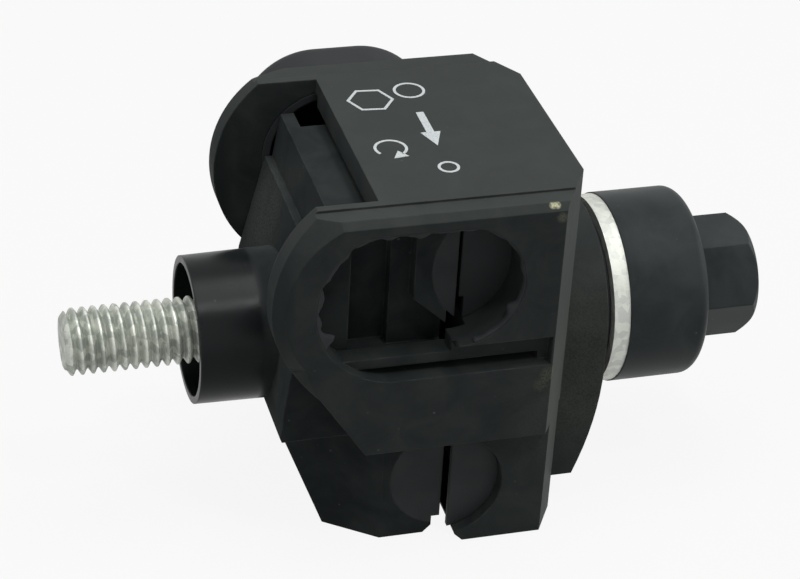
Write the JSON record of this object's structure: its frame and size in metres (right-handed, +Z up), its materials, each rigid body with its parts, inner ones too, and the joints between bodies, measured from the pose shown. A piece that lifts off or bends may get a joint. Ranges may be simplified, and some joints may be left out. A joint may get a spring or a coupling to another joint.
{
  "type": "branch clamp",
  "caption": "Moulded branch clamp for insulated overhead cables: toothed contact blades and seals in its jaws, drawn together by a bolt with an insulated hexagon head.",
  "frame": {"origin": "middle of the head half's foot, on the plane that the clamp stands on", "axes": "+X along the bolt towards its head, the conductors run along Y, +Z up"},
  "size_m": [0.0845, 0.0442, 0.0473],
  "materials": {
    "moulded_nylon": "fine moulded grain",
    "knockout_elastomer": "smooth elastomer",
    "seal_rubber": "matt",
    "galvanised_steel": "dull zinc plating",
    "tinned_copper": "tinned"
  },
  "bodies": {
    "head_half": {"head_shell": "moulded_nylon", "front_knockout": "knockout_elastomer", "rear_knockout": "knockout_elastomer", "sealing_ring": "seal_rubber", "head_main_seal": "seal_rubber", "head_branch_seal": "seal_rubber", "head_blade_front": "tinned_copper", "head_blade_rear": "tinned_copper"},
    "nut_half": {"nut_shell": "moulded_nylon", "nut_main_seal": "seal_rubber", "nut_branch_seal": "seal_rubber", "nut_blade_front": "tinned_copper", "nut_blade_rear": "tinned_copper", "captive_nut": "galvanised_steel"},
    "bolt": {"clamping_bolt": "galvanised_steel", "insulated_head": "moulded_nylon", "flat_washer": "galvanised_steel"}
  },
  "joints": [
    {"name": "bolt_turn", "type": "hinge", "parent": "head_half", "child": "bolt", "pos_m": [0.01515, 0, 0.0233], "axis": [-1, 0, 0], "range_deg": [-2305, 577]},
    {"name": "jaw_slide", "type": "slide", "parent": "head_half", "child": "nut_half", "axis": [1, 0, 0], "range_m": [-0.008, 0.002]}
  ],
  "couplings": [
    {"joint": "bolt_turn", "follows": "jaw_slide", "rad_per_m": 5026.5}
  ]
}
